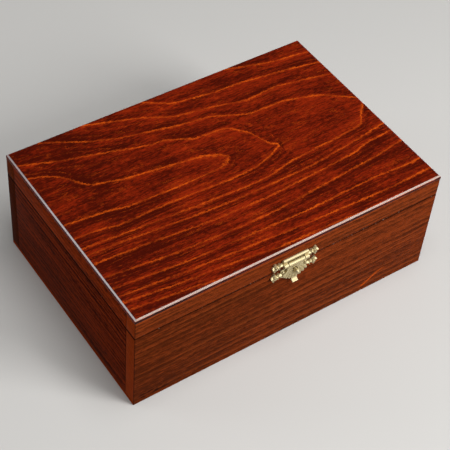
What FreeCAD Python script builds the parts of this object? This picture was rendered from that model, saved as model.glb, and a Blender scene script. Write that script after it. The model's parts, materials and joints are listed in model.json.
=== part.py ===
# Hinged wooden box, closed by a cast brass hasp latch on the front and hung on two brass butt hinges.
# The carcass is glued up as one closed box and then sawn apart at the seam into base and lid.
# Millimetres. +Z is up, -Y is the front, and the origin is the middle of the footprint.

import FreeCAD
import Part

import math
import os

V = FreeCAD.Vector

# Carcass, outside sizes with the lid closed
BOX_LENGTH = 220.0
BOX_DEPTH = 150.0
BOX_HEIGHT = 80.0
LID_HEIGHT = 16.5
BOARD_THICKNESS = 9.0
PANEL_THICKNESS = 3.0
TOP_CHAMFER = 1.2
ARRIS = 0.5
SEAM_EASE = 0.4

# Butt hinges on the back
HINGE_LENGTH = 25.0
HINGE_INSET = 38.0
LEAF_HEIGHT = 10.0
LEAF_THICKNESS = 0.9
LEAF_CORNER = 1.6
HINGE_PIN_RADIUS = 0.8
BARREL_STANDOFF = 0.15
HINGE_NAIL_SPACING = 15.0

# Clearances shared by the hinges and the latch
PIN_CLEARANCE = 0.05
KNUCKLE_GAP = 0.3
NAIL_CLEARANCE = 0.03

# Nails with round heads on square shanks
HINGE_NAIL_HEAD_RADIUS = 1.6
HINGE_NAIL_SHANK = 1.1
LATCH_NAIL_HEAD_RADIUS = 0.95
LATCH_NAIL_SHANK = 0.8
NAIL_HEAD_HEIGHT = 0.5
NAIL_LENGTH = 6.5

# Latch as a whole
LATCH_OFFSET_X = -1.0
LATCH_SPAN = 33.6
LATCH_SHEET = 0.9
LATCH_BODY_WIDTH = 18.0

# Fleur-shaped ends of both latch plates: three ridged leaves round a boss, on a neck with a shoulder
LID_FINIAL_RISE = 4.8
BASE_FINIAL_DROP = 3.9
LOBE_LENGTH = 3.4
LOBE_WIDTH = 2.4
TIP_LENGTH = 2.7
LOBE_SPLAY = 12.0
SHOULDER_LENGTH = 4.8
SHOULDER_WIDTH = 2.7
RIDGE_HEIGHT = 1.9
EDGE_HEIGHT = 0.8
NECK_WIDTH = 1.8
BOSS_RADIUS = 1.25
BOSS_RISE = 0.1

# Barrel of the hasp and the frame of the lid plate above it
HASP_AXIS_HEIGHT = 4.1
HASP_AXIS_OUT = 2.3
KNUCKLE_RADIUS = 1.4
LATCH_PIN_RADIUS = 0.6
HASP_KNUCKLE_LENGTH = 11.4
ARM_GAP = 0.4
ARM_THICKNESS = 1.9
SUNK_HEIGHT = 0.6
BEAD_RADIUS = 1.1

# Hasp: a fluted shell with a slot for the stud and a curled finger lip
HASP_SHEET = 0.9
HASP_RUNNING_GAP = 0.3
HASP_WAIST_WIDTH = 10.6
HASP_WIDTH = 17.4
HASP_LENGTH = 13.4
SLOT_CLEARANCE = 0.25
RIB_COUNT = 10
RIB_FAN = 58.0
RIB_END_RADIUS = 1.35
RIB_SINK = 0.4
LIP_WIDTH = 4.0
LIP_INNER_RADIUS = 2.8
LIP_OUTER_RADIUS = 2.0
LIP_REACH = 0.25
LIP_ANGLE = 62.0
LIP_CURL = 20.0
LIP_LAP = 0.5

# Base plate and the stud riveted into it
BASE_PLATE_WIDTH = 19.2
BASE_PLATE_LENGTH = 9.0
BASE_PLATE_MARGIN = 0.6
SCROLL_RADIUS = 1.5
SCROLL_RISE = 1.1
STUD_DROP = 2.6
STUD_REACH = 5.8
STUD_RADIUS = 1.25
STUD_HEAD_RADIUS = 1.6
STUD_HEAD_LENGTH = 2.4
STUD_TIP_RADIUS = 0.9
STUD_TAIL_RADIUS = 0.8

# Side of a shield, from its collar to where it turns in to the foot: how far it flares from the
# collar to the hips, how far it tucks in again as a share of half the width, and how far down it is
SHIELD_SIDE = (
    (0.0, 0.0, 0.0),
    (0.0, 0.0, 0.22),
    (0.34, 0.0, 0.42),
    (1.0, 0.02, 0.58),
    (1.0, 0.0, 0.66),
    (1.0, 0.07, 0.74),
)
SHIELD_TURN = 0.9

# Places worked out from the sizes above
SEAM = BOX_HEIGHT - LID_HEIGHT
HALF_LENGTH = BOX_LENGTH / 2
HALF_DEPTH = BOX_DEPTH / 2
LATCH_PLACE = V(LATCH_OFFSET_X, -HALF_DEPTH, SEAM)
HINGE_PLACES = {
    "left": V(HINGE_INSET - HALF_LENGTH, HALF_DEPTH, SEAM),
    "right": V(HALF_LENGTH - HINGE_INSET, HALF_DEPTH, SEAM),
}

# Hinge, measured from the seam on the back face
BARREL_RADIUS = HINGE_PIN_RADIUS + PIN_CLEARANCE + LEAF_THICKNESS
BARREL_OUT = BARREL_STANDOFF + BARREL_RADIUS
LEAF_FOOT = BARREL_RADIUS + KNUCKLE_GAP
HINGE_NAIL_HEIGHT = (LEAF_FOOT + LEAF_HEIGHT) / 2

# Latch, measured from the seam on the front face: heights up, and depths out of the face
HASP_BACK = LATCH_SHEET + HASP_RUNNING_GAP
HASP_FRONT = HASP_BACK + HASP_SHEET
BODY_HALF = LATCH_BODY_WIDTH / 2
KNUCKLE_INNER = HASP_KNUCKLE_LENGTH / 2 + ARM_GAP
ROOM_TOP = HASP_AXIS_HEIGHT + KNUCKLE_RADIUS + KNUCKLE_GAP
LID_PLATE_TOP = ROOM_TOP + SUNK_HEIGHT + 2 * BEAD_RADIUS
FINIAL_U = LATCH_SPAN / 2 - TIP_LENGTH
FINIAL_HEIGHTS = {1: LID_FINIAL_RISE, -1: -BASE_FINIAL_DROP}
BOSS_HEIGHT = RIDGE_HEIGHT + BOSS_RISE
STUD_FROM_AXIS = HASP_AXIS_HEIGHT + STUD_DROP
SLOT_HALF = STUD_HEAD_RADIUS + SLOT_CLEARANCE
SLOT_START = STUD_FROM_AXIS - SLOT_HALF
# The slot ends where its lower edge, swinging outwards, has passed the tip of the stud.
SLOT_END = SLOT_CLEARANCE + math.hypot(
    STUD_FROM_AXIS + STUD_HEAD_RADIUS, STUD_REACH - HASP_BACK
)


# Shared shapes


def box_between(low, high):
    size = V(*high) - V(*low)
    return Part.makeBox(size.x, size.y, size.z, V(*low))


def line(a, b):
    return Part.LineSegment(a, b).toShape()


def arc(a, middle, b):
    return Part.Arc(a, middle, b).toShape()


def prism(edges, direction):
    wire = Part.Wire(Part.__sortEdges__(edges))
    return Part.Face(wire).extrude(direction)


def polygon_prism(points, direction):
    wire = Part.makePolygon(points + points[:1])
    return Part.Face(wire).extrude(direction)


def turned(points, axis):
    """A solid of revolution about a line through the origin, from the corners of its profile."""
    wire = Part.makePolygon(points + points[:1])
    solid = Part.Face(wire).revolve(V(0, 0, 0), axis, 360)
    if solid.Volume < 0:
        solid.reverse()
    return solid


def rod_x(x0, x1, y, z, radius):
    return Part.makeCylinder(radius, x1 - x0, V(x0, y, z), V(1, 0, 0))


def fused(shapes):
    return shapes[0].multiFuse(shapes[1:]).removeSplitter()


def placed(shape, place):
    moved = shape.copy()
    moved.translate(place)
    return moved


# Carcass


def eased_block(z0, z1, bottom_ease, top_ease):
    """The closed carcass between two heights, with its outer arrises planed off."""

    def profile(half):
        return [
            (-half, z0 + bottom_ease),
            (bottom_ease - half, z0),
            (half - bottom_ease, z0),
            (half, z0 + bottom_ease),
            (half, z1 - top_ease),
            (half - top_ease, z1),
            (top_ease - half, z1),
            (-half, z1 - top_ease),
        ]

    side = [V(-HALF_LENGTH, y, z) for y, z in profile(HALF_DEPTH)]
    front = [V(x, -HALF_DEPTH, z) for x, z in profile(HALF_LENGTH)]
    plan = [
        V(sx * (HALF_LENGTH - cut_x), sy * (HALF_DEPTH - cut_y), z0)
        for sx, sy, cut_x, cut_y in (
            (-1, -1, ARRIS, 0),
            (1, -1, ARRIS, 0),
            (1, -1, 0, ARRIS),
            (1, 1, 0, ARRIS),
            (1, 1, ARRIS, 0),
            (-1, 1, ARRIS, 0),
            (-1, 1, 0, ARRIS),
            (-1, -1, 0, ARRIS),
        )
    ]
    block = polygon_prism(side, V(BOX_LENGTH, 0, 0))
    block = block.common(polygon_prism(front, V(0, BOX_DEPTH, 0)))
    return block.common(polygon_prism(plan, V(0, 0, z1 - z0)))


def frame_boards(block, z0, z1):
    """Front and back run the full length, and the two sides are butted between them."""
    x, y, t = HALF_LENGTH, HALF_DEPTH, BOARD_THICKNESS
    stock = {
        "front": ((-x, -y, z0), (x, t - y, z1)),
        "back": ((-x, y - t, z0), (x, y, z1)),
        "left": ((-x, t - y, z0), (t - x, y - t, z1)),
        "right": ((x - t, t - y, z0), (x, y - t, z1)),
    }
    return {name: block.common(box_between(*ends)) for name, ends in stock.items()}


def sheet_panel(block, z0, z1):
    x, y = HALF_LENGTH, HALF_DEPTH
    return block.common(box_between((-x, -y, z0), (x, y, z1)))


def shank(seat, outward, width, length):
    """A square bar that goes into the wood from a seat on a face that looks along outward in Y."""
    half = width / 2
    start, end = sorted((seat.y, seat.y - outward * length))
    return box_between(
        (seat.x - half, start, seat.z - half), (seat.x + half, end, seat.z + half)
    )


def drilled(shape, seats, outward, width):
    """The shape with the holes that nails of a width have driven into it."""
    wide = width + 2 * NAIL_CLEARANCE
    deep = NAIL_LENGTH + NAIL_CLEARANCE
    return shape.cut([shank(seat, outward, wide, deep) for seat in seats])


def carcass():
    base_block = eased_block(0, SEAM, ARRIS, SEAM_EASE)
    lid_block = eased_block(SEAM, BOX_HEIGHT, SEAM_EASE, TOP_CHAMFER)
    base = frame_boards(base_block, PANEL_THICKNESS, SEAM)
    lid = frame_boards(lid_block, SEAM, BOX_HEIGHT - PANEL_THICKNESS)
    for frame, up in ((base, -1), (lid, 1)):
        latch_seats = [seat + LATCH_PLACE for seat in latch_nail_seats(up)]
        hinge_seats = [
            seat + place
            for place in HINGE_PLACES.values()
            for seat in hinge_nail_seats(up)
        ]
        frame["front"] = drilled(
            frame["front"], latch_seats, -1, LATCH_NAIL_SHANK
        )
        frame["back"] = drilled(frame["back"], hinge_seats, 1, HINGE_NAIL_SHANK)
    nodes = {f"base_{name}_board": shape for name, shape in base.items()}
    nodes.update({f"lid_{name}_rail": shape for name, shape in lid.items()})
    nodes["base_bottom_panel"] = sheet_panel(base_block, 0, PANEL_THICKNESS)
    nodes["lid_top_panel"] = sheet_panel(
        lid_block, BOX_HEIGHT - PANEL_THICKNESS, BOX_HEIGHT
    )
    return nodes


# Nails


def nails(seats, outward, head_radius, width):
    """Nails whose heads sit at seats, on a face that looks along outward (+1 or -1 in Y)."""
    solids = []
    for seat in seats:
        head = Part.makeCylinder(
            head_radius, NAIL_HEAD_HEIGHT, seat, V(0, outward, 0)
        )
        solids.append(fused([head, shank(seat, outward, width, NAIL_LENGTH)]))
    return Part.makeCompound(solids)


# Hinges, made at the seam on the back face. A leaf's up is 1 on the lid and -1 on the base.


def hinge_nail_seats(up):
    half = HINGE_NAIL_SPACING / 2
    return [
        V(side * half, LEAF_THICKNESS, up * HINGE_NAIL_HEIGHT) for side in (-1, 1)
    ]


def knuckle_spans(up):
    """The base leaf holds the two outer knuckles and the lid leaf the middle one."""
    half = HINGE_LENGTH / 2
    middle = HINGE_LENGTH / 6
    if up > 0:
        return [(KNUCKLE_GAP - middle, middle - KNUCKLE_GAP)]
    return [(-half, -middle), (middle, half)]


def hinge_leaf(up):
    half = HINGE_LENGTH / 2
    inner = half - LEAF_CORNER
    bend = LEAF_HEIGHT - LEAF_CORNER
    diagonal = LEAF_CORNER * math.sqrt(0.5)

    def at(x, height):
        return V(x, 0, up * height)

    def corner(side):
        return arc(
            at(side * half, bend),
            at(side * (inner + diagonal), bend + diagonal),
            at(side * inner, LEAF_HEIGHT),
        )

    plate = prism(
        [
            line(at(-half, LEAF_FOOT), at(half, LEAF_FOOT)),
            line(at(half, LEAF_FOOT), at(half, bend)),
            corner(1),
            line(at(inner, LEAF_HEIGHT), at(-inner, LEAF_HEIGHT)),
            corner(-1),
            line(at(-half, bend), at(-half, LEAF_FOOT)),
        ],
        V(0, LEAF_THICKNESS, 0),
    )
    pieces = [plate]
    low, high = sorted((0, up * LEAF_FOOT))
    for x0, x1 in knuckle_spans(up):
        pieces.append(rod_x(x0, x1, BARREL_OUT, 0, BARREL_RADIUS))
        pieces.append(box_between((x0, 0, low), (x1, LEAF_THICKNESS, high)))
    bore = rod_x(-half, half, BARREL_OUT, 0, HINGE_PIN_RADIUS + PIN_CLEARANCE)
    leaf = fused(pieces).cut(bore)
    return drilled(leaf, hinge_nail_seats(up), 1, HINGE_NAIL_SHANK)


def hinge_pin():
    """A pin with its ends hammered over the outer knuckles."""
    half = HINGE_LENGTH / 2
    head = (HINGE_PIN_RADIUS + BARREL_RADIUS) / 2
    profile = [
        (-half - HINGE_PIN_RADIUS / 2, 0),
        (-half, head),
        (-half, HINGE_PIN_RADIUS),
        (half, HINGE_PIN_RADIUS),
        (half, head),
        (half + HINGE_PIN_RADIUS / 2, 0),
    ]
    pin = turned([V(x, r, 0) for x, r in profile], V(1, 0, 0))
    return placed(pin, V(0, BARREL_OUT, 0))


def hinges():
    nodes = {}
    shapes = {"pin": hinge_pin(), "base_leaf": hinge_leaf(-1), "lid_leaf": hinge_leaf(1)}
    for side, place in HINGE_PLACES.items():
        for piece, shape in shapes.items():
            nodes[f"{side}_hinge_{piece}"] = placed(shape, place)
    for part, up in (("base", -1), ("lid", 1)):
        seats = [
            seat + place
            for place in HINGE_PLACES.values()
            for seat in hinge_nail_seats(up)
        ]
        nodes[f"hinge_{part}_nails"] = nails(
            seats, 1, HINGE_NAIL_HEAD_RADIUS, HINGE_NAIL_SHANK
        )
    return nodes


# Latch, made at the seam on the front face. A plate's up is 1 on the lid and -1 on the base.


def latch_point(u, height, out=0.0):
    return V(u, -out, height)


def latch_box(u0, u1, height0, height1, out0, out1):
    return box_between((u0, -out1, height0), (u1, -out0, height1))


def latch_rod(half, height, out, radius):
    return rod_x(-half, half, -out, height, radius)


def latch_nail_seats(up):
    return [
        latch_point(side * FINIAL_U, FINIAL_HEIGHTS[up], BOSS_HEIGHT)
        for side in (-1, 1)
    ]


def ridged(outline, start, along, length, half_width):
    """A raised leaf on an outline: its top slopes from a ridge along its middle to lower edges."""
    across = V(-along.z, 0, along.x)
    out = V(0, -1, 0)
    slope = (RIDGE_HEIGHT - EDGE_HEIGHT) / half_width
    reach = EDGE_HEIGHT / slope
    gable = polygon_prism(
        [
            start - across * (half_width + reach),
            start + across * (half_width + reach),
            start + out * RIDGE_HEIGHT,
        ],
        along * length,
    )
    return prism(outline, out * RIDGE_HEIGHT).common(gable)


def lobe(root, angle, length, width):
    """A leaf, pointed at both ends, that grows from root along an angle in the front face."""
    along = V(math.cos(angle), 0, math.sin(angle))
    across = V(-along.z, 0, along.x)
    tip = root + along * length
    belly = root + along * (length / 2)
    half = width / 2
    outline = [
        arc(root, belly + across * half, tip),
        arc(root, belly - across * half, tip),
    ]
    return ridged(outline, root, along, length, half)


def neck(side, height, root_u):
    """The bar between a plate's body and its finial."""
    half = NECK_WIDTH / 2
    corners = [
        latch_point(side * u, height + rise)
        for u, rise in (
            (root_u, -half),
            (FINIAL_U, -half),
            (FINIAL_U, half),
            (root_u, half),
        )
    ]
    outline = [line(corners[k - 1], corners[k]) for k in range(4)]
    root = latch_point(side * root_u, height)
    return ridged(outline, root, V(side, 0, 0), FINIAL_U - root_u, half)


def finial(side, up, root_u):
    height = FINIAL_HEIGHTS[up]
    centre = latch_point(side * FINIAL_U, height)
    shoulder_u = FINIAL_U - BOSS_RADIUS - SHOULDER_WIDTH / 2
    shoulder = latch_point(side * shoulder_u, height - SHOULDER_LENGTH / 2)
    outwards = 0 if side > 0 else math.pi
    upwards = math.pi / 2 - side * math.radians(LOBE_SPLAY)
    return [
        Part.makeCylinder(BOSS_RADIUS, BOSS_HEIGHT, centre, V(0, -1, 0)),
        neck(side, height, root_u),
        lobe(shoulder, math.pi / 2, SHOULDER_LENGTH, SHOULDER_WIDTH),
        lobe(centre, outwards, TIP_LENGTH, LOBE_WIDTH),
        lobe(centre, upwards, LOBE_LENGTH, LOBE_WIDTH),
        lobe(centre, -upwards, LOBE_LENGTH, LOBE_WIDTH),
    ]


def latch_lid_plate():
    """A beaded top edge over a sunk sheet, hollowed behind the barrel, and two arms that hold its pin."""
    bead_height = LID_PLATE_TOP - BEAD_RADIUS
    foot = HASP_AXIS_HEIGHT - KNUCKLE_RADIUS
    sheet = latch_box(-BODY_HALF, BODY_HALF, foot, bead_height, 0, LATCH_SHEET)
    room = latch_rod(KNUCKLE_INNER, HASP_AXIS_HEIGHT, HASP_AXIS_OUT, KNUCKLE_RADIUS + KNUCKLE_GAP)
    bead = latch_rod(BODY_HALF, bead_height, BEAD_RADIUS, BEAD_RADIUS)
    pieces = [sheet.cut(room), bead]
    for side in (-1, 1):
        u0, u1 = sorted((side * KNUCKLE_INNER, side * BODY_HALF))
        pieces.append(latch_box(u0, u1, foot, bead_height, 0, ARM_THICKNESS))
        pieces.append(rod_x(u0, u1, -HASP_AXIS_OUT, HASP_AXIS_HEIGHT, KNUCKLE_RADIUS))
        pieces.extend(finial(side, 1, BODY_HALF - NECK_WIDTH / 2))
    plate = fused(pieces).cut(latch_pin())
    return drilled(plate, latch_nail_seats(1), -1, LATCH_NAIL_SHANK)


def latch_pin():
    """A plain rod, held tight by the arms of the lid plate, on which the hasp turns."""
    return latch_rod(BODY_HALF, HASP_AXIS_HEIGHT, HASP_AXIS_OUT, LATCH_PIN_RADIUS)


def shield(waist, width, length, top, out, margin=0.0):
    """A shield's outline: a straight collar, hips at two thirds of its length, and a narrow foot."""
    collar = waist / 2 + margin
    half = width / 2 + margin
    foot = LIP_WIDTH / 2 + margin
    points = [
        (collar + (half - collar) * flare - half * tuck, length * drop)
        for flare, tuck, drop in SHIELD_SIDE
    ]
    hip = points[-1][0]
    points.append(((hip + foot) / 2, length * SHIELD_TURN + margin / 2))
    points.append((foot, length + margin))
    right = [latch_point(u, top - drop, out) for u, drop in points]
    left = [latch_point(-u, top - drop, out) for u, drop in points]
    edges = [line(left[0], right[0]), line(left[-1], right[-1])]
    for q in (right, left):
        edges.append(line(q[0], q[1]))
        edges += [arc(q[k], q[k + 1], q[k + 2]) for k in (1, 3, 5)]
    return edges


def hasp_outline(out, margin=0.0):
    return shield(
        HASP_WAIST_WIDTH, HASP_WIDTH, HASP_LENGTH, HASP_AXIS_HEIGHT, out, margin
    )


def rib(angle):
    """One flute of the shell: a cone that fans out from the barrel and lies half in the sheet."""
    along = V(math.sin(angle), 0, -math.cos(angle))
    start = latch_point(0, HASP_AXIS_HEIGHT - KNUCKLE_RADIUS, HASP_FRONT - RIB_SINK)
    return Part.makeCone(RIB_SINK / 4, RIB_END_RADIUS, HASP_LENGTH, start, along)


def finger_lip():
    """The curled lip at the foot of the hasp: down out of the sheet, forwards, and over again."""
    half = HASP_SHEET / 2
    out = math.radians(LIP_ANGLE)
    over = math.radians(LIP_ANGLE - LIP_CURL)
    foot = HASP_AXIS_HEIGHT - HASP_LENGTH
    inner = latch_point(0, foot, HASP_BACK + half + LIP_INNER_RADIUS)
    forward = V(0, -math.sin(out), -math.cos(out)) * LIP_REACH
    normal = V(0, -math.cos(out), math.sin(out))
    outer = inner - normal * LIP_INNER_RADIUS + forward - normal * LIP_OUTER_RADIUS

    def on_inner(angle, offset):
        radius = LIP_INNER_RADIUS - offset
        return inner + V(0, math.cos(angle), -math.sin(angle)) * radius

    def on_outer(angle, offset):
        radius = LIP_OUTER_RADIUS + offset
        return outer + V(0, -math.cos(angle), math.sin(angle)) * radius

    def lapped(offset):
        return on_inner(0, offset) + V(0, 0, LIP_LAP)

    edges = [
        line(lapped(half), lapped(-half)),
        line(on_outer(over, half), on_outer(over, -half)),
    ]
    for offset in (half, -half):
        edges += [
            line(lapped(offset), on_inner(0, offset)),
            arc(on_inner(0, offset), on_inner(out / 2, offset), on_inner(out, offset)),
            line(on_inner(out, offset), on_outer(out, offset)),
            arc(
                on_outer(out, offset),
                on_outer((out + over) / 2, offset),
                on_outer(over, offset),
            ),
        ]
    return placed(prism(edges, V(LIP_WIDTH, 0, 0)), V(-LIP_WIDTH / 2, 0, 0))


def stud_slot():
    """The hasp's slot, round at both ends, that drops over the stud."""
    start = HASP_AXIS_HEIGHT - SLOT_START - SLOT_HALF
    end = HASP_AXIS_HEIGHT - SLOT_END + SLOT_HALF
    reach = V(0, -STUD_REACH, 0)
    middle = latch_box(-SLOT_HALF, SLOT_HALF, end, start, 0, STUD_REACH)
    ends = [
        Part.makeCylinder(SLOT_HALF, STUD_REACH, latch_point(0, height), reach)
        for height in (start, end)
    ]
    return fused([middle] + ends)


def latch_hasp():
    """A fluted shell that hangs from its barrel, with a slot for the stud and a lip to lift it by."""
    fan = math.radians(RIB_FAN)
    step = 2 * fan / (RIB_COUNT - 1)
    slab = latch_box(
        -HASP_WIDTH,
        HASP_WIDTH,
        HASP_AXIS_HEIGHT - 2 * HASP_LENGTH,
        HASP_AXIS_HEIGHT + HASP_LENGTH,
        0,
        HASP_FRONT,
    )
    fluted = fused([slab] + [rib(k * step - fan) for k in range(RIB_COUNT)])
    shell = fluted.common(prism(hasp_outline(HASP_BACK), V(0, -HASP_LENGTH, 0)))
    half = HASP_KNUCKLE_LENGTH / 2
    barrel = latch_rod(half, HASP_AXIS_HEIGHT, HASP_AXIS_OUT, KNUCKLE_RADIUS)
    bore = latch_rod(
        half, HASP_AXIS_HEIGHT, HASP_AXIS_OUT, LATCH_PIN_RADIUS + PIN_CLEARANCE
    )
    hasp = fused([shell, barrel, finger_lip()])
    return hasp.cut(bore).cut(stud_slot())


def latch_base_plate():
    """A shield behind the hasp, with a round scroll at each upper corner and a hole for the stud."""
    half = BASE_PLATE_WIDTH / 2
    top = -BASE_PLATE_MARGIN
    outline = shield(BASE_PLATE_WIDTH, BASE_PLATE_WIDTH, BASE_PLATE_LENGTH, top, 0)
    pieces = [prism(outline, V(0, -LATCH_SHEET, 0))]
    for side in (-1, 1):
        pieces.append(
            Part.makeCone(
                SCROLL_RADIUS,
                SCROLL_RADIUS / 2,
                LATCH_SHEET + SCROLL_RISE,
                latch_point(side * (half - SCROLL_RADIUS), top - SCROLL_RADIUS),
                V(0, -1, 0),
            )
        )
        pieces.extend(finial(side, -1, half - NECK_WIDTH / 2))
    room = prism(hasp_outline(LATCH_SHEET, HASP_RUNNING_GAP), V(0, -LATCH_SPAN, 0))
    hole = Part.makeCylinder(
        STUD_TAIL_RADIUS, LATCH_SHEET, latch_point(0, -STUD_DROP), V(0, -1, 0)
    )
    plate = fused(pieces).cut(room).cut(hole)
    return drilled(plate, latch_nail_seats(-1), -1, LATCH_NAIL_SHANK)


def latch_stud():
    """A post with a rounded head, riveted tight through the base plate."""
    neck_out = STUD_REACH - STUD_HEAD_LENGTH
    belly_out = STUD_REACH - STUD_HEAD_LENGTH / 2
    profile = [
        (0, 0),
        (STUD_TAIL_RADIUS, 0),
        (STUD_TAIL_RADIUS, LATCH_SHEET),
        (STUD_RADIUS, LATCH_SHEET),
        (STUD_RADIUS, neck_out),
        (STUD_HEAD_RADIUS, belly_out),
        (STUD_TIP_RADIUS, STUD_REACH),
        (0, STUD_REACH),
    ]
    stud = turned([V(r, -out, 0) for r, out in profile], V(0, 1, 0))
    return placed(stud, latch_point(0, -STUD_DROP))


def latch():
    shapes = {
        "lid_plate": latch_lid_plate(),
        "hasp": latch_hasp(),
        "hasp_pin": latch_pin(),
        "base_plate": latch_base_plate(),
        "stud": latch_stud(),
    }
    for part, up in (("base", -1), ("lid", 1)):
        shapes[f"{part}_nails"] = nails(
            latch_nail_seats(up), -1, LATCH_NAIL_HEAD_RADIUS, LATCH_NAIL_SHANK
        )
    return {f"latch_{piece}": placed(shape, LATCH_PLACE) for piece, shape in shapes.items()}


# The whole box


def main():
    os.makedirs("parts", exist_ok=True)
    for node, shape in {**carcass(), **hinges(), **latch()}.items():
        shape.exportStep(os.path.join("parts", node + ".step"))


main()
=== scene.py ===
"""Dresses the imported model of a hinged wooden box: stained boards, a veneered lid, brass hinges and latch."""

import json
import math
from typing import NamedTuple

import bmesh
import bpy
import numpy as np
from mathutils import Matrix, Vector


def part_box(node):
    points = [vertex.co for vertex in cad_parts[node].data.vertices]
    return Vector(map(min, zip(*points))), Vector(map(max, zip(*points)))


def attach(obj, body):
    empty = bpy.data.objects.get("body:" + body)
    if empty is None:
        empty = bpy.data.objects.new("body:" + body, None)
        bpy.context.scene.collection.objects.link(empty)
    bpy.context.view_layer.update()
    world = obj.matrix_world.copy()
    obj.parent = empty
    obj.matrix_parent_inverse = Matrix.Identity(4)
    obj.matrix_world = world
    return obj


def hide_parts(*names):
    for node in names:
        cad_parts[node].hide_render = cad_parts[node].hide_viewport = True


bl_info = {
    "name": "Hinged Wooden Box",
    "version": (1, 0, 0),
    "blender": (4, 5, 0),
    "location": "View3D > Sidebar > Wooden Box",
    "description": "Boards, veneer, hinges and latch of a stained box, with its studio",
    "category": "Object",
}

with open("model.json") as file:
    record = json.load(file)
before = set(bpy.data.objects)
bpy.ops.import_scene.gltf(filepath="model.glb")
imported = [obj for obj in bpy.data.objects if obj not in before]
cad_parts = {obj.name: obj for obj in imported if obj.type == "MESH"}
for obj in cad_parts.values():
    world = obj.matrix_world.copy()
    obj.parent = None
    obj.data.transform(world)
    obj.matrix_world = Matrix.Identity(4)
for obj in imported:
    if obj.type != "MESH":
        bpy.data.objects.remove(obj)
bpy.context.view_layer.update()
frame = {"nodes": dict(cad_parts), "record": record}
MM = 0.001
X, Y, Z = range(3)

# Places on the carcass, in metres: its two outer corners, the saw cut between base and lid, and the joint
# between the sides and the back board, which lies as far back as the front one lies forward
LOW = Vector(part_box("base_bottom_panel")[0])
HIGH = Vector(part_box("lid_top_panel")[1])
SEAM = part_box("base_front_board")[1][Z]
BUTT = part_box("base_left_board")[1][Y]


# Sizes and colours that a user would change


def rgb(red, green, blue):
    """A colour as it is seen, in 0 to 255, turned into the linear values that shaders take."""
    return tuple(
        v / 12.92 if v <= 0.04045 else ((v + 0.055) / 1.055) ** 2.4
        for v in (red / 255, green / 255, blue / 255)
    )


def colour_setting(name, description, default):
    return bpy.props.FloatVectorProperty(
        name=name, description=description, default=default, subtype="COLOR", min=0, max=1
    )


def length_setting(name, description, default):
    return bpy.props.FloatProperty(
        name=name, description=description, default=default, unit="LENGTH", min=0, precision=5
    )


def share_setting(name, description, default):
    return bpy.props.FloatProperty(
        name=name, description=description, default=default, subtype="FACTOR", min=0, max=1
    )


def power_setting(name, description, default):
    return bpy.props.FloatProperty(
        name=name, description=description, default=default, unit="POWER", min=0
    )


class WoodSettings(bpy.types.PropertyGroup):
    """The carcass and its stain."""

    top_chamfer: length_setting("Top chamfer", "Flat planed along the top edges", 1.2 * MM)
    arris: length_setting("Arris", "Flat planed along the other outer edges", 0.5 * MM)
    softening: length_setting("Softening", "Round left on every edge by sanding", 0.14 * MM)
    grid_step: length_setting("Grid step", "Spacing of the points that carry the veneer's growth", 1.25 * MM)
    deep: colour_setting("Deep stain", "Stain where it soaked in most", rgb(66, 11, 2))
    body: colour_setting("Body stain", "Stain on plain wood", rgb(142, 36, 7))
    bright: colour_setting("Bright line", "Growth lines that took little stain", rgb(208, 84, 14))
    shade: colour_setting("Board shade", "Stain in the dark grain of the boards", rgb(72, 29, 11))
    board: colour_setting("Board stain", "Stain on the plain grain of the boards", rgb(122, 50, 19))
    streak: colour_setting("Board streak", "Grain of the boards that took little stain", rgb(170, 80, 32))
    # Painted shade: the sides take redder copies of the three board colours, the two dark ones also darker, for
    # the dimmer light on them
    shaded_side_grain: colour_setting("Shaded side grain", "Dark grain of the two sides, darker and redder as painted shade", rgb(48, 14, 6))
    shaded_side_stain: colour_setting("Shaded side stain", "Plain grain of the two sides, darker and redder as painted shade", rgb(116, 40, 15))
    shaded_side_streak: colour_setting("Shaded side streak", "Grain of the sides that took little stain, redder as painted shade", rgb(182, 68, 16))
    # Painted highlight on the lid's top chamfer; the same pale colour also gives the real chips at the saw cut
    chips_and_highlight: colour_setting("Chips and highlight", "Pale wood in chips at the saw cut, and the painted highlight on the lid's top chamfer", rgb(170, 147, 134))
    # Painted highlight on the chamfer at the lid's two ends
    end_highlight: colour_setting("End highlight", "Painted highlight on the chamfer at the ends of the lid", rgb(204, 196, 198))
    gap: colour_setting("Joint", "Dirt and shadow in joints and pores", rgb(22, 6, 2))
    core: length_setting("Core", "Height of the middle ply in the lid's panel", 78.2 * MM)
    gloss: share_setting("Gloss", "Specular level of the lacquer on the veneer", 0.05)
    satin: share_setting("Satin", "Specular level of the thinner lacquer on the boards", 0.002)


class BrassSettings(bpy.types.PropertyGroup):
    """The cast and pressed brass."""

    voxel: length_setting("Voxel", "Grain at which cast pieces are rounded", 0.1 * MM)
    metal: colour_setting("Metal", "Clean brass", (0.58, 0.49, 0.29))
    tarnish: colour_setting("Tarnish", "Brass in hollows", (0.50, 0.40, 0.15))


class StageSettings(bpy.types.PropertyGroup):
    """Floor and light."""

    floor: colour_setting("Floor", "Colour of the floor", (0.60, 0.59, 0.57))
    key: power_setting("Key", "Power of the front softbox", 14)
    top: power_setting("Top", "Power of the softbox overhead", 11)
    rim: power_setting("Rim", "Power of the strip light behind", 2)
    sky: share_setting("Sky", "Light from all round", 0.12)


class BoxSettings(bpy.types.PropertyGroup):
    """All settings of the box."""

    wood: bpy.props.PointerProperty(type=WoodSettings)
    brass: bpy.props.PointerProperty(type=BrassSettings)
    stage: bpy.props.PointerProperty(type=StageSettings)


# Shader maths


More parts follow.
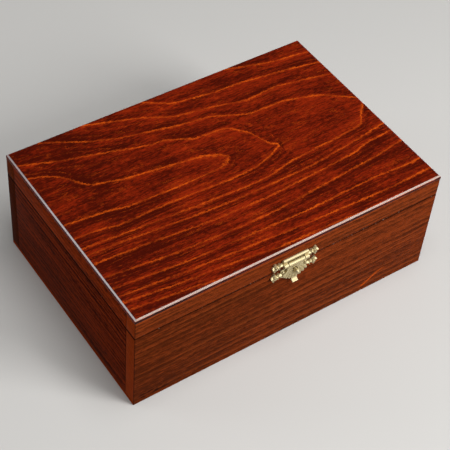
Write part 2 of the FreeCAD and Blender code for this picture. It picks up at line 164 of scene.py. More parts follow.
class Shade:
    """The value of a socket. Python's operators on it add Math nodes."""

    def __init__(self, finish, socket):
        self.finish = finish
        self.socket = socket

    def also(self, output):
        """Another output of the same node."""
        return Shade(self.finish, self.socket.node.outputs[output])

    def math(self, operation, *values):
        inputs = dict(enumerate(values))
        return self.finish.add("ShaderNodeMath", {"operation": operation}, inputs)

    def __add__(self, other):
        return self.math("ADD", self, other)

    def __radd__(self, other):
        return self.math("ADD", other, self)

    def __sub__(self, other):
        return self.math("SUBTRACT", self, other)

    def __rsub__(self, other):
        return self.math("SUBTRACT", other, self)

    def __mul__(self, other):
        return self.math("MULTIPLY", self, other)

    def __truediv__(self, other):
        return self.math("DIVIDE", self, other)

    def __pow__(self, other):
        return self.math("POWER", self, other)

    def __abs__(self):
        return self.math("ABSOLUTE", self)

    def fract(self):
        return self.math("FRACT", self)

    def most(self, other):
        return self.math("MAXIMUM", self, other)

    def step(self, low, high):
        """0 below low and 1 above high, with a soft rise between. Low above high turns it round."""
        inputs = {0: self, 1: low, 2: high}
        return self.finish.add("ShaderNodeMapRange", {"interpolation_type": "SMOOTHSTEP"}, inputs)

    def band(self, low, full, waning, high):
        """0 below low and above high, 1 from full to waning, and soft between."""
        return self.step(low, full) * self.step(high, waning)


class Finish:
    """A material whose nodes are added from Python."""

    def __init__(self, name):
        self.material = bpy.data.materials.new(name)
        self.material.use_nodes = True
        self.nodes = self.material.node_tree.nodes
        self.links = self.material.node_tree.links
        self.nodes.clear()
        self.output = self.nodes.new("ShaderNodeOutputMaterial")

    def add(self, kind, settings=None, inputs=None, output=0):
        """A node of a kind, with its settings made first, then the values or links of its sockets."""
        node = self.nodes.new(kind)
        for name, value in (settings or {}).items():
            setattr(node, name, value)
        for key, value in (inputs or {}).items():
            if isinstance(value, Shade):
                self.links.new(value.socket, node.inputs[key])
            else:
                node.inputs[key].default_value = value
        return Shade(self, node.outputs[output])

    def place(self):
        """The point on the piece, in millimetres, as three values."""
        point = self.add("ShaderNodeTexCoord", output="Object")
        scale = (1 / MM, 1 / MM, 1 / MM)
        return self.split(self.add("ShaderNodeMapping", inputs={"Vector": point, "Scale": scale}))

    def facing(self):
        """The normal of the piece, as three values."""
        return self.split(self.add("ShaderNodeTexCoord", output="Normal"))

    def split(self, vector):
        x = self.add("ShaderNodeSeparateXYZ", inputs={0: vector})
        return x, x.also(Y), x.also(Z)

    def attribute(self, name):
        """A value that the points of the piece carry."""
        return self.add("ShaderNodeAttribute", {"attribute_name": name}, output="Fac")

    def noise(self, x, y, z, detail=2.0, rough=0.5):
        """Soft noise about 0.5, one unit to a bump."""
        vector = self.add("ShaderNodeCombineXYZ", inputs={X: x, Y: y, Z: z})
        inputs = {"Vector": vector, "Scale": 1.0, "Detail": detail, "Roughness": rough}
        return self.add("ShaderNodeTexNoise", inputs=inputs)

    def mix(self, amount, first, second):
        """A colour between two colours."""
        inputs = {0: amount, 6: self.tint(first), 7: self.tint(second)}
        return self.add("ShaderNodeMix", {"data_type": "RGBA"}, inputs, output=2)

    @staticmethod
    def tint(value):
        return value if isinstance(value, Shade) else (*value, 1.0)

    def bump(self, height, depth):
        inputs = {"Height": height, "Distance": depth, "Strength": 1.0}
        return self.add("ShaderNodeBump", inputs=inputs)

    def surface(self, **sockets):
        """The shader itself. Socket names are written with underscores for spaces."""
        inputs = {name.replace("_", " "): value for name, value in sockets.items()}
        shader = self.add("ShaderNodeBsdfPrincipled", inputs=inputs)
        self.links.new(shader.socket, self.output.inputs[0])
        return self.material


# Modelling


def alone():
    """Leaves edit mode and deselects everything."""
    if bpy.context.object and bpy.context.object.mode != "OBJECT":
        bpy.ops.object.mode_set(mode="OBJECT")
    bpy.ops.object.select_all(action="DESELECT")


def only(piece):
    """Makes a piece the only one that is selected, and the active one."""
    alone()
    piece.select_set(True)
    bpy.context.view_layer.objects.active = piece


def pick_edges(piece, chosen):
    """Selects the edges of a piece in edit mode whose middle passes a test."""
    mesh = bmesh.from_edit_mesh(piece.data)
    for edge in mesh.edges:
        edge.select_set(chosen((edge.verts[0].co + edge.verts[1].co) / 2))
    bmesh.update_edit_mesh(piece.data)


def modified(piece, kind, **settings):
    """Adds a modifier to a piece and applies it."""
    modifier = piece.modifiers.new(kind.lower(), kind)
    for name, value in settings.items():
        setattr(modifier, name, value)
    bpy.context.view_layer.objects.active = piece
    bpy.ops.object.modifier_apply(modifier=modifier.name)


def gathered(items, field, width, kind=np.float32):
    """A field of all points or edges of a mesh, one row to each."""
    values = np.empty(len(items) * width, dtype=kind)
    items.foreach_get(field, values)
    return values.reshape(-1, width)


def write_points(mesh, name, values):
    """Writes one value on each point of a mesh."""
    written = mesh.attributes.new(name, "FLOAT", "POINT")
    written.data.foreach_set("value", values.astype(np.float32))


def body_of(node):
    bodies = frame["record"]["behaviour"]["bodies"]
    return next(body for body, nodes in bodies.items() if node in nodes)


def dressed(piece, name, node, material):
    """Names a finished piece, gives it its material and puts it in the place of its CAD node."""
    piece.name = name
    piece.data.name = name
    piece.data.materials.clear()
    piece.data.materials.append(material)
    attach(piece, body_of(node))
    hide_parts(node)


# The lid's veneer

# Growth rings of the lid's veneer, from the heart outwards, in millimetres from the middle of the lid. Each
# has the course of its upper and of its lower side, from left to right.
GROWTH_RINGS = (
    (
        (
            (-110, 50.5), (-98.5, 46.5), (-89.5, 40), (-80.5, 27), (-60.5, 21),
            (-28, 16.5), (-7, 13.5), (3, 9.5), (7, 4.5),
        ),
        ((-110, 6), (-80.5, 3), (-68.5, 0), (-28, -1.5), (-4, -1.5), (4, 1.5), (7, 4.5)),
    ),
    (
        (
            (-110, 62.5), (-83.5, 53), (-57.5, 46), (-31, 38), (-20, 37),
            (-3, 28.5), (19, 27.5), (31, 14.5), (33, 2.5), (40, -2),
        ),
        ((-110, -6), (-93.5, -7), (-80.5, -10), (-48, -9.5), (-3, -12), (16, -11), (28, -8), (40, -2)),
    ),
    (
        (
            (-110, 84.5), (-77.5, 68), (-62.5, 59.5), (-44, 52.5), (-11, 45),
            (17, 40.5), (38.5, 30.5), (65.5, 29.5), (88.5, 23), (112.5, 5.5),
        ),
        (
            (-110, -15), (-58, -18.5), (2, -22), (16, -22), (36, -18),
            (72, -16), (96, -14), (101, -6), (112.5, 5.5),
        ),
    ),
    (
        (
            (-110, 95.5), (-56, 73), (-24, 62), (-4, 52), (21.5, 47.5),
            (45.5, 41.5), (68.5, 43.5), (91.5, 39), (112, 34.5),
        ),
        ((-110, -21), (-93.5, -21), (-44, -25.5), (-11, -27.5), (47, -27.5), (86, -23), (112, -19.5)),
    ),
    (
        ((-110, 108), (-16, 74.5), (2, 62.5), (33.5, 58), (48.5, 58), (85.5, 53), (112, 48)),
        (
            (-110, -28), (-77.5, -30), (-31, -34.5), (6, -35.5),
            (56, -33), (77, -31.5), (86, -28.5), (112, -27),
        ),
    ),
    (
        ((-110, 120.5), (48.5, 74), (65.5, 68.5), (80.5, 64.5), (112, 60.5)),
        ((-110, -39.5), (-68, -44.5), (-19, -47), (6, -47), (46, -44), (89, -40.5), (112, -37)),
    ),
    (
        ((-110, 131.5), (58, 85.5), (112, 73.5)),
        ((-110, -49), (-61, -53.5), (22, -56.5), (76.5, -55), (99.5, -57), (112, -56)),
    ),
    (
        ((-110, 143.5), (112, 85.5)),
        ((-110, -55.5), (-69, -59.5), (14, -64.5), (72.5, -67), (112, -66)),
    ),
    (
        ((-110, 155), (112, 97)),
        ((-110, -60), (-78, -64.5), (-41, -67.5), (-11, -71.5), (112, -76)),
    ),
    (
        ((-110, 166.5), (112, 109)),
        ((-110, -66.5), (-69, -71), (-56, -73.5), (-11, -79.5), (112, -88)),
    ),
)
# The first rings close at a tip, within the lid or just past its right end. The heart's growth is the value
# midway between the sides of the innermost ring, at the left end and at each tip.
CLOSED_RINGS = 3
HEART_GROWTH = (0.2, 1, 2, 3)
# Growth outside the last ring goes on by so many rings over so many millimetres.
OUTER_RINGS = 8
OUTER_WIDTH = 60
# The growth is kept on a grid of whole millimetres that reaches a little past the lid on each side.
REACH_X = 112
REACH_Y = 77
# A line is softened over so many millimetres to each side, and its spacing is kept between two widths.
SOFT_REACH = 9
SPACING = (3, 40)
LEAST_SLOPE = 0.02


def course(points, places):
    """The height of a growth line at each place from left to right, softened over a few millimetres."""
    line = np.interp(places, *zip(*points))
    window = np.hanning(SOFT_REACH + 2)
    padded = np.pad(line, SOFT_REACH, mode="reflect", reflect_type="odd")
    soft = np.convolve(padded, window / window.sum(), mode="same")
    return soft[SOFT_REACH:-SOFT_REACH]


def veneer_growth():
    """The growth of the veneer on its grid, and how far apart its lines are there."""
    xs = np.arange(-REACH_X, REACH_X + 1.0)
    ys = np.arange(-REACH_Y, REACH_Y + 1.0)
    sides = [[course(side, xs) for side in ring] for ring in GROWTH_RINGS]
    left = GROWTH_RINGS[0][0][0][0]
    tips = [ring[0][-1][0] for ring in GROWTH_RINGS[:CLOSED_RINGS]]
    heart = np.interp(xs, [left] + tips, HEART_GROWTH)
    outside = len(sides) + OUTER_RINGS
    growth = np.empty((len(xs), len(ys)))
    for column, x in enumerate(xs):
        rings = [k for k in range(len(sides)) if k >= CLOSED_RINGS or x < tips[k]]
        upper = [(sides[k][0][column], k + 1) for k in rings]
        lower = [(sides[k][1][column], k + 1) for k in reversed(rings)]
        middle = ((upper[0][0] + lower[-1][0]) / 2, heart[column])
        below = (lower[0][0] - OUTER_WIDTH, outside)
        above = (upper[-1][0] + OUTER_WIDTH, outside)
        heights, values = zip(below, *lower, middle, *upper, above)
        growth[column] = np.interp(ys, np.maximum.accumulate(heights), values)
    slope = np.hypot(*np.gradient(growth))
    return growth, np.clip(1 / np.maximum(slope, LEAST_SLOPE), *SPACING)


def sampled(field, points):
    """The values of a field on that grid at points in metres."""
    x = points[:, X] / MM + REACH_X
    y = points[:, Y] / MM + REACH_Y
    i = np.clip(x.astype(int), 0, field.shape[0] - 2)
    j = np.clip(y.astype(int), 0, field.shape[1] - 2)
    u = x - i
    v = y - j
    near = field[i, j] * (1 - v) + field[i, j + 1] * v
    far = field[i + 1, j] * (1 - v) + field[i + 1, j + 1] * v
    return near * (1 - u) + far * u


# Finishes of the wood

# Millimetres along the grain from one seed's fibres to the next one's
SEED_SHIFT = 500.0


def grain(finish, along, across, through, seed, fleck, tight):
    """Fibres of wood: broad streaks, fine streaks and pores, each about 0.5, drawn out along the grain."""
    start = along + SEED_SHIFT * seed
    broad = finish.noise(start * 0.018, across * 0.30, through * 0.30, 3)
    fine = finish.noise(start * fleck, across * tight, through * tight, 4, 0.65)
    pores = finish.noise(start * 0.22, across * 4.5, through * 4.5, 1)
    return broad, fine, pores


def lacquered(finish, colour, fine, pores, planed, coat, gloss):
    """Wood under a thin lacquer that shows its fibres. Planed edges are smooth and have a coat."""
    relief = (fine * 0.6 - pores.step(0.62, 0.75)) * (1.0 - planed)
    return finish.surface(
        Base_Color=colour,
        Roughness=fine * 0.14 + 0.30,
        Normal=finish.bump(relief, 0.035 * MM),
        Specular_IOR_Level=gloss,
        Coat_Weight=planed * coat,
        Coat_Roughness=0.12,
    )


def veneer_lines(finish, x, y, z, broad, fine):
    """The bright growth lines of the veneer, and how much lighter the wood beside them is."""
    growth = finish.attribute("growth")
    spacing = finish.attribute("spacing")
    ragged = (finish.noise(x * 0.30, y * 0.50, z, 3, 0.6) - 0.5) * 2.2 + (fine - 0.5) * 1.6
    ragged = ragged + (finish.noise(x * 0.75, y * 0.60, z, 1) - 0.5) * 1.5
    from_line = ((growth + 0.5).fract() - 0.5) * spacing + ragged
    strength = finish.noise(x * 0.045 + 40.0, y * 0.12, z, 4, 0.6).step(0.34, 0.66)
    dashes = finish.noise(x * 0.40, y * 0.80, z, 2).step(0.30, 0.60)
    line = abs(from_line).step(0.90, 0.20) * (strength * 0.72 + 0.20) * (dashes * 0.60 + 0.40)
    front_left = y.step(15.0, -45.0) * x.step(40.0, -40.0)
    line = line * (1.0 - front_left * 0.28)
    between = (growth * 3.0 + (broad - 0.5) * 2.4 + ragged * 0.25).fract()
    thread = between.step(0.80, 0.97) * strength * dashes * 0.32
    glow = from_line.band(-3.5, -0.3, 0.0, 0.6)
    shadow = from_line.band(0.3, 2.6, 4.0, 11.0)
    beside = glow * 0.10 - shadow * 0.18 - between.step(0.70, 0.20) * 0.10
    return line.most(thread), beside


def veneer_finish(wood):
    """The lid's veneer: bright growth lines on deep stain, plies at its edge and a painted highlight on its
    chamfer.
    """
    finish = Finish("veneered_top")
    x, y, z = finish.place()
    nx, ny, nz = finish.facing()
    broad, fine, pores = grain(finish, x, y, z, seed=1, fleck=0.26, tight=1.05)
    lines, beside = veneer_lines(finish, x, y, z, broad, fine)
    upper = nz.step(0.2, 0.4)
    mottle = finish.noise(x * 0.045, y * 0.07, z * 0.05, 3)
    # Painted shade: the top darker towards its left end
    shade_to_left = x.step(-15.0, -85.0)
    front_right = y.step(10.0, -50.0) * x.step(-40.0, 60.0)
    tone = 0.52 + (broad - 0.5) * 0.9 + (fine - 0.5) * 1.9 + (mottle - 0.5)
    tone = tone - shade_to_left * 0.20 - front_right * 0.12 + beside * upper
    colour = finish.mix(tone.step(0.0, 1.0), wood.deep, wood.body)
    colour = finish.mix(lines * upper, colour, wood.bright)
    colour = finish.mix(pores.step(0.64, 0.78) * 0.45, colour, wood.deep)
    edge = abs(nz).step(0.5, 0.3) * abs(ny).step(0.5, 0.8)
    core = edge * abs(z - wood.core / MM).step(0.85, 0.55)
    colour = finish.mix(core * 0.85, colour, wood.gap)
    chamfer = abs(nz).band(0.3, 0.5, 0.8, 0.93)
    # Painted highlight: a pale strip on the top chamfer, paler on the ends and fading towards the back there
    from_top = HIGH.z / MM - z
    strip = chamfer * from_top.band(0.07, 0.27, 0.85, 1.05)
    at_end = abs(nx).step(0.3, 0.6)
    highlight_colour = finish.mix(at_end, wood.chips_and_highlight, wood.end_highlight)
    highlight_fade = at_end * y.step(10.0, 75.0) * 0.40
    colour = finish.mix(strip * (0.97 - highlight_fade), colour, highlight_colour)
    return lacquered(finish, colour, fine, pores, chamfer, 0.15, wood.gloss)


class Board(NamedTuple):
    """How the grain of a board differs from that of the others. Lengths are in millimetres."""

    name: str
    # The axis that the grain follows, and the axis across it on the board's face
    run: int
    face: int
    # The heart's place across and through the board, and the width of a year
    heart: tuple
    seed: int
    # How much painted shade darkens the gap at the saw cut
    seam_shade: float = 0.8
    # Where a curl in the grain starts, along and across
    curl: tuple = None
    # From where to where painted shade darkens the base, along the grain
    shaded_span: tuple = None
    dark_ends: bool = False


def year_rings(finish, board, along, across, through, fine):
    """The late, dark wood of each year, and the pale wood that the next one starts with."""
    seed = board.seed
    heart_across, heart_through, year_width = board.heart
    bend = (finish.noise(along * 0.008 + seed, across * 0.02, through * 0.02) - 0.5) * 5.0
    wave = (finish.noise(along * 0.030 + seed, across * 0.08, through * 0.08, 2) - 0.5) * 1.6
    up = across - heart_across + bend + wave
    out = through - heart_through
    year = (up * up + out * out) ** 0.5 / year_width
    year = year + (finish.noise(year * 0.45, along * 0.003, seed) - 0.5) * 2.6
    phase = (year + (fine - 0.5) * 0.4).fract()
    vigour = finish.noise(along * 0.007 + seed, across * 0.10, through * 0.10, 3).step(0.36, 0.60)
    late = phase.band(0.45, 0.92, 0.94, 1.0) * (vigour * 0.9 + 0.1)
    pale = phase.band(0.0, 0.12, 0.16, 0.45) * vigour
    return late, pale


def curl_stroke(board, along, across, fine):
    """A bright stroke where the grain curls upwards."""
    start, height = board.curl
    rise = along.step(start - 9.0, start + 11.0) * 9.0 + height
    stroke = abs(across - rise + (fine - 0.5) * 2.0).step(1.5, 0.2)
    return stroke * along.band(start - 9.0, start - 4.0, start + 2.0, start + 16.0)


def low_marks(finish, along, across, through):
    """Dark marks low on the front, near its left corner."""
    marks = finish.noise(along * 0.22, across * 0.55, through * 0.2, 3, 0.6).step(0.46, 0.56)
    return marks * along.band(-109.0, -104.0, -92.0, -82.0) * across.band(2.6, 3.6, 6.5, 9.0)


def board_finish(wood, board):
    """Solid boards sawn round a heart that lies outside them, with painted shade in the gap at the saw cut and
    dirt in the joints.
    """
    finish = Finish(board.name)
    point = finish.place()
    normal = finish.facing()
    along, across = point[board.run], point[board.face]
    through = point[X + Y + Z - board.run - board.face]
    broad, fine, pores = grain(finish, along, across, through, board.seed, fleck=0.24, tight=1.3)
    late, pale = year_rings(finish, board, along, across, through, fine)
    hair = finish.noise(along * 0.035 + board.seed, across * 1.9, through * 1.9, 2).step(0.58, 0.72)
    above = point[Z].step(SEAM / MM - 0.2, SEAM / MM + 0.2)
    is_side = board.run == Y
    # The sides take their painted-shade copies of the board colours
    if is_side:
        shade, plain, streak = wood.shaded_side_grain, wood.shaded_side_stain, wood.shaded_side_streak
        contrast = 1.4
        lift = above * ((fine - 0.5) * 0.9 + (broad - 0.5) * 0.6 + 0.22)
    else:
        shade, plain, streak = wood.shade, wood.board, wood.streak
        contrast = 1.15
        lift = above * 0.04

    # Grain
    varied = (broad - 0.5) * 1.1 + (fine - 0.5) * 2.3 - late * 0.28 - hair * 0.22
    tone = 0.60 + varied * contrast
    # Painted shade: the base, below the saw cut, darker along the grain from the span's first end to its second
    if board.shaded_span:
        tone = tone - along.step(*board.shaded_span) * (1.0 - above) * 0.26
    colour = finish.mix(tone.step(0.0, 1.0), shade, plain)
    colour = finish.mix(pale * 0.24 + fine.step(0.6, 0.8) * 0.14 + lift, colour, streak)
    if board.curl:
        colour = finish.mix(curl_stroke(board, along, across, fine) * 0.72, colour, wood.bright)
    if board.shaded_span:
        colour = finish.mix(low_marks(finish, along, across, through) * 0.75, colour, wood.gap)
    colour = finish.mix(pores.step(0.62, 0.76) * 0.4, colour, wood.gap)
    # End grain shows on the sides, so it takes the sides' painted-shade colours: pale on the front board's
    # ends, dark on the back board's
    end = abs(normal[board.run]).step(0.8, 0.95)
    if board.dark_ends:
        colour = finish.mix(end * (0.70 - above * 0.45), colour, wood.shaded_side_grain)
    else:
        colour = finish.mix(end * 0.40, colour, wood.shaded_side_streak)

    # Saw cut with its painted shade, corners and joints
    flank = abs(normal[Z]).step(0.95, 0.85)
    from_seam = abs(point[Z] - SEAM / MM)
    # Painted shade: a dark band on the outer faces along the saw cut between base and lid, stronger on end
    # grain
    seam_darkness = end * (1.0 - board.seam_shade) + board.seam_shade
    cut = from_seam.step(seam_darkness * 0.85 + 0.35, seam_darkness * 0.40 + 0.10)
    colour = finish.mix(cut * flank * seam_darkness, colour, wood.gap)
    chips = finish.noise(along * 0.45 + board.seed, across * 0.4, through * 0.4, 2).step(0.66, 0.72)
    chips = chips * from_seam.step(0.75, 0.40) * flank
    colour = finish.mix(chips * (1.15 - board.seam_shade), colour, wood.chips_and_highlight)
    corner = abs(normal[X]).step(0.2, 0.5) * abs(normal[Y]).step(0.2, 0.5)
    colour = finish.mix(corner * 0.55, colour, wood.gap)
    if is_side:
        joint = abs(along).step(BUTT / MM - 0.9, BUTT / MM - 0.2) * flank
        colour = finish.mix(joint * 0.7, colour, wood.gap)
    square = abs(normal[X]).most(abs(normal[Y])).most(abs(normal[Z]))
    return lacquered(finish, colour, fine, pores, square.step(0.98, 0.90), 0.04, wood.satin)


# Carcass pieces

# Two points closer than this lie on one plane
NEAR = 0.02 * MM


def outside_planes(point):
    """How many of the carcass's outer planes, the seam among them, a point lies on."""
    flats = [(point[k], (LOW[k], HIGH[k])) for k in range(3)] + [(point[Z], (SEAM,))]
    return sum(any(abs(value - flat) < NEAR for flat in planes) for value, planes in flats)


def sanded(piece, wood, degrees):
    """Rounds the edges of a piece that are sharper than an angle, and smooths its shading."""
    modified(
        piece,
        "BEVEL",
        width=wood.softening,
        segments=2,
        limit_method="ANGLE",
        angle_limit=math.radians(degrees),
    )
    only(piece)
    bpy.ops.object.shade_smooth_by_angle(angle=math.radians(30))


def sawn_board(node, wood):
    """A board the size of its CAD node, its outer arrises planed and every edge sanded."""
    alone()
    low, high = (Vector(corner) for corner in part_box(node))
    bpy.ops.mesh.primitive_cube_add(size=1, location=(low + high) / 2, scale=high - low)
    board = bpy.context.object
    bpy.ops.object.transform_apply(location=True, rotation=True, scale=True)
    bpy.ops.object.mode_set(mode="EDIT")
    bpy.ops.mesh.select_mode(type="EDGE")
    pick_edges(board, lambda middle: outside_planes(middle) > 1)
    bpy.ops.mesh.bevel(offset=wood.arris, segments=3, profile=0.5, affect="EDGES")
    bpy.ops.object.mode_set(mode="OBJECT")
    sanded(board, wood, 40)
    return board


class BOX_OT_boards(bpy.types.Operator):
    """Saws the four boards of the base and the four rails of the lid"""

    bl_idname = "wooden_box.boards"
    bl_label = "Boards and rails"

    def execute(self, context):
        wood = context.scene.wooden_box.wood
        boards = {
            "front": Board(
                "stained_front", X, Z, (-46.0, 22.0, 3.4), 3, seam_shade=0.68, curl=(66.0, 4.0), shaded_span=(10.0, -70.0)
            ),
            "back": Board("stained_back", X, Z, (118.0, -30.0, 3.1), 5, dark_ends=True),
            "left": Board("stained_left", Y, Z, (-70.0, -40.0, 3.3), 7, seam_shade=0.95),
            "right": Board("stained_right", Y, Z, (130.0, 55.0, 3.0), 9),
        }
        for side, board in boards.items():
            finish = board_finish(wood, board)
            for node in (f"base_{side}_board", f"lid_{side}_rail"):
                dressed(sawn_board(node, wood), "stained_" + node, node, finish)
        return {"FINISHED"}


class BOX_OT_lid_panel(bpy.types.Operator):
    """Lays the veneered panel on the lid"""

    bl_idname = "wooden_box.lid_panel"
    bl_label = "Lid panel"

    def execute(self, context):
        wood = context.scene.wooden_box.wood
        node = "lid_top_panel"
        low, high = (Vector(corner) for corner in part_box(node))
        size = high - low
        flat = Vector((size.x - 2 * wood.top_chamfer, size.y - 2 * wood.top_chamfer, 1))
        alone()
        bpy.ops.mesh.primitive_grid_add(
            size=1,
            x_subdivisions=round(flat.x / wood.grid_step),
            y_subdivisions=round(flat.y / wood.grid_step),
            location=(0, 0, high.z),
        )
        panel = context.object
        bpy.ops.transform.resize(value=flat)
        bpy.ops.object.transform_apply(location=True, rotation=True, scale=True)
        bpy.ops.object.mode_set(mode="EDIT")
        bpy.ops.mesh.select_mode(type="EDGE")
        bpy.ops.mesh.select_all(action="DESELECT")
        bpy.ops.mesh.select_non_manifold()
        chamfer = (0, 0, -wood.top_chamfer)
        bpy.ops.mesh.extrude_region_move(TRANSFORM_OT_translate={"value": chamfer})
        bpy.ops.transform.resize(value=(size.x / flat.x, size.y / flat.y, 1))
        rest = (0, 0, wood.top_chamfer - size.z)
        bpy.ops.mesh.extrude_region_move(TRANSFORM_OT_translate={"value": rest})
        bpy.ops.mesh.edge_face_add()
        bpy.ops.mesh.select_all(action="SELECT")
        bpy.ops.mesh.normals_make_consistent(inside=False)
        bpy.ops.object.mode_set(mode="OBJECT")
        sanded(panel, wood, 30)
        self.grow(panel.data)
        dressed(panel, "veneered_lid_panel", node, veneer_finish(wood))
        return {"FINISHED"}

    @staticmethod
    def grow(mesh):
        """Writes the veneer's growth and the spacing of its lines on the points of the panel."""
        points = gathered(mesh.vertices, "co", 3)
        for name, field in zip(("growth", "spacing"), veneer_growth()):
            write_points(mesh, name, sampled(field, points))


class BOX_OT_bottom_panel(bpy.types.Operator):
    """Lays the plywood panel under the base"""

    bl_idname = "wooden_box.bottom_panel"
    bl_label = "Bottom panel"

    def execute(self, context):
        wood = context.scene.wooden_box.wood
        node = "base_bottom_panel"
        finish = board_finish(wood, Board("stained_bottom", X, Y, (20.0, -60.0, 5.0), 11))
        dressed(sawn_board(node, wood), "stained_bottom_panel", node, finish)
        return {"FINISHED"}


# Brass pieces

# Points of a CAD node's mesh closer than this are one point
WELD = 0.001 * MM


def brass_finish(brass, name, rough):
    """Brass: clean where it is handled, tarnished in its hollows, with a fine cast skin."""
    finish = Finish(name)
    x, y, z = finish.place()
    cloud = finish.noise(x * 0.5, y * 0.5, z * 0.5, 3)
    skin = finish.noise(x * 4.0, y * 4.0, z * 4.0, 3)
    depth = finish.attribute("hollow")
    hollow = depth.step(0.02, 0.14)
    handled = depth.step(-0.02, -0.12)
    dull = hollow * 0.45 + cloud.step(0.50, 0.75) * 0.18 - handled * 0.10
    return finish.surface(
        Base_Color=finish.mix(dull.most(0.0), brass.metal, brass.tarnish),
        Metallic=1.0,
        Roughness=cloud * 0.10 + hollow * 0.12 - handled * 0.08 + (rough - 0.05),
        Normal=finish.bump(skin, 0.010 * MM),
    )


def cast_copy(node):
    """A copy of a CAD node's mesh, with its loose triangles joined up."""
    source = frame["nodes"][node]
    piece = bpy.data.objects.new(node + "_copy", source.data.copy())
    bpy.context.scene.collection.objects.link(piece)
    only(piece)
    bpy.ops.object.mode_set(mode="EDIT")
    bpy.ops.mesh.select_all(action="SELECT")
    bpy.ops.mesh.remove_doubles(threshold=WELD)
    bpy.ops.object.mode_set(mode="OBJECT")
    return piece


def mark_hollows(mesh, passes=24):
    """Writes on each point how deep it lies below its smoothed surroundings, in millimetres."""
    count = len(mesh.vertices)
    points = gathered(mesh.vertices, "co", 3)
    normals = gathered(mesh.vertices, "normal", 3)
    first, second = gathered(mesh.edges, "vertices", 2, np.int32).T
    links = np.bincount(first, minlength=count) + np.bincount(second, minlength=count)
    soft = points.astype(np.float64)
    for _ in range(passes):
        total = np.stack(
            [
                np.bincount(first, soft[second, k], count) + np.bincount(second, soft[first, k], count)
                for k in range(3)
            ],
            axis=1,
        )
        soft = total / np.maximum(links, 1)[:, None]
    write_points(mesh, "hollow", ((soft - points) * normals).sum(axis=1) / MM)


def soft_cast(node, brass, passes):
    """A CAD node's shape as it comes out of a mould rubbed soft by use, with all its edges rounded."""
    piece = cast_copy(node)
    modified(piece, "REMESH", mode="VOXEL", voxel_size=brass.voxel)
    modified(piece, "SMOOTH", factor=0.5, iterations=passes)
    only(piece)
    bpy.ops.object.shade_smooth()
    mark_hollows(piece.data)
    return piece


class BOX_OT_latch(bpy.types.Operator):
    """Casts the plates, the hasp, the stud and the pin of the latch"""

    bl_idname = "wooden_box.latch"
    bl_label = "Latch"

    def execute(self, context):
        brass = context.scene.wooden_box.brass
        finish = brass_finish(brass, "cast_brass", 0.60)
        for node in ("latch_lid_plate", "latch_base_plate", "latch_hasp", "latch_stud", "latch_hasp_pin"):
            dressed(soft_cast(node, brass, 6), "cast_" + node, node, finish)
        return {"FINISHED"}


class BOX_OT_hinges(bpy.types.Operator):
    """Presses the leaves of the hinges and drives their pins"""

    bl_idname = "wooden_box.hinges"
    bl_label = "Hinges"

    def execute(self, context):
        brass = context.scene.wooden_box.brass
        finish = brass_finish(brass, "pressed_brass", 0.40)
        for part in ("base_leaf", "lid_leaf", "pin"):
            left, right = (f"{side}_hinge_{part}" for side in ("left", "right"))
            piece = soft_cast(left, brass, 3)
            copy = self.moved(piece, Vector(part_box(right)[0]) - Vector(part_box(left)[0]))
            dressed(piece, "pressed_" + left, left, finish)
            dressed(copy, "pressed_" + right, right, finish)
        return {"FINISHED"}

    @staticmethod
    def moved(piece, shift):
        """A copy of a piece, moved and with its origin left where it was."""
        only(piece)
        bpy.ops.object.duplicate()
        bpy.ops.transform.translate(value=shift)
        bpy.ops.object.transform_apply(location=True, rotation=False, scale=False)
        return bpy.context.object


class BOX_OT_nails(bpy.types.Operator):
    """Drives the nails of the hinges and of the latch"""

    bl_idname = "wooden_box.nails"
    bl_label = "Nails"

    def execute(self, context):
        brass = context.scene.wooden_box.brass
        finish = brass_finish(brass, "drawn_brass", 0.34)
        for node in ("hinge_base_nails", "hinge_lid_nails", "latch_base_nails", "latch_lid_nails"):
            dressed(soft_cast(node, brass, 4), "drawn_" + node, node, finish)
        return {"FINISHED"}


# Stage

FLOOR_SIZE = 8
# What the lights point at
MIDDLE = Vector((0, 0, 0.05))
# The photo's camera, solved from the edges of the box: width of the picture and focal length in pixels, the
# camera's axes, and its place in metres
PHOTO_WIDTH = 450
FOCAL_LENGTH = 1292.3914
SENSOR_WIDTH = 36
CAMERA_RIGHT = (0.82655791, -0.55905268, 0.06528488)
CAMERA_UP = (0.37678900, 0.63575265, 0.67368287)
CAMERA_BACK = (-0.41812925, -0.53223928, 0.73613129)
CAMERA_PLACE = (-0.34351363, -0.44272416, 0.63546765)


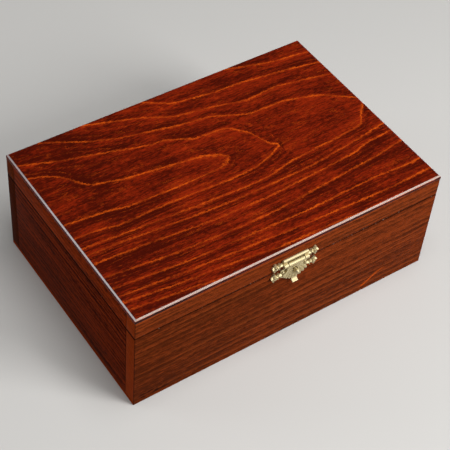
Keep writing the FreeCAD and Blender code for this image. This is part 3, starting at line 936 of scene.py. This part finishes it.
class BOX_OT_stage(bpy.types.Operator):
    """Builds the floor, the lights and the camera"""

    bl_idname = "wooden_box.stage"
    bl_label = "Stage"

    def execute(self, context):
        settings = context.scene.wooden_box.stage
        self.floor(settings.floor)
        self.sky(settings.sky)
        self.softbox("key_softbox", (0.55, -0.98, 0.75), 0.55, 0.55, settings.key)
        self.softbox("top_softbox", (0.05, -0.30, 1.35), 0.80, 0.80, settings.top)
        self.softbox("rim_strip", (-0.95, 0.72, 0.42), 0.50, 0.35, settings.rim)
        self.camera()
        context.scene.view_settings.view_transform = "Standard"
        return {"FINISHED"}

    @staticmethod
    def floor(colour):
        alone()
        bpy.ops.mesh.primitive_plane_add(size=FLOOR_SIZE)
        floor = bpy.context.object
        floor.name = "floor"
        paper = Finish("floor_paper")
        material = paper.surface(Base_Color=paper.tint(colour), Roughness=0.9, Specular_IOR_Level=0.1)
        floor.data.materials.append(material)

    @staticmethod
    def sky(strength):
        world = bpy.data.worlds.new("studio")
        world.use_nodes = True
        background = world.node_tree.nodes["Background"]
        background.inputs["Color"].default_value = (1, 1, 1, 1)
        background.inputs["Strength"].default_value = strength
        bpy.context.scene.world = world

    @staticmethod
    def softbox(name, place, width, height, power):
        lamp = bpy.data.lights.new(name, "AREA")
        lamp.shape = "RECTANGLE"
        lamp.size = width
        lamp.size_y = height
        lamp.energy = power
        light = bpy.data.objects.new(name, lamp)
        light.location = place
        aim = MIDDLE - light.location
        light.rotation_euler = aim.to_track_quat("-Z", "Y").to_euler()
        bpy.context.scene.collection.objects.link(light)

    @staticmethod
    def camera():
        lens = bpy.data.cameras.new("photo_camera")
        lens.sensor_width = SENSOR_WIDTH
        lens.lens = FOCAL_LENGTH * SENSOR_WIDTH / PHOTO_WIDTH
        camera = bpy.data.objects.new("photo_camera", lens)
        turn = Matrix((CAMERA_RIGHT, CAMERA_UP, CAMERA_BACK)).transposed().to_4x4()
        camera.matrix_world = Matrix.Translation(CAMERA_PLACE) @ turn
        bpy.context.scene.collection.objects.link(camera)
        bpy.context.scene.camera = camera


class BOX_PT_sidebar(bpy.types.Panel):
    """Lists the pieces of the box"""

    bl_idname = "BOX_PT_sidebar"
    bl_label = "Wooden Box"
    bl_space_type = "VIEW_3D"
    bl_region_type = "UI"
    bl_category = "Wooden Box"

    def draw(self, context):
        for kind in OPERATORS:
            self.layout.operator(kind.bl_idname)


OPERATORS = (
    BOX_OT_boards,
    BOX_OT_lid_panel,
    BOX_OT_bottom_panel,
    BOX_OT_latch,
    BOX_OT_hinges,
    BOX_OT_nails,
    BOX_OT_stage,
)
CLASSES = (WoodSettings, BrassSettings, StageSettings, BoxSettings, *OPERATORS, BOX_PT_sidebar)


def register():
    for kind in CLASSES:
        bpy.utils.register_class(kind)
    bpy.types.Scene.wooden_box = bpy.props.PointerProperty(type=BoxSettings)


def unregister():
    del bpy.types.Scene.wooden_box
    for kind in reversed(CLASSES):
        bpy.utils.unregister_class(kind)


def main():
    register()
    bpy.ops.wooden_box.boards()
    bpy.ops.wooden_box.lid_panel()
    bpy.ops.wooden_box.bottom_panel()
    bpy.ops.wooden_box.latch()
    bpy.ops.wooden_box.hinges()
    bpy.ops.wooden_box.nails()
    bpy.ops.wooden_box.stage()


if __name__ == "__main__":
    main()
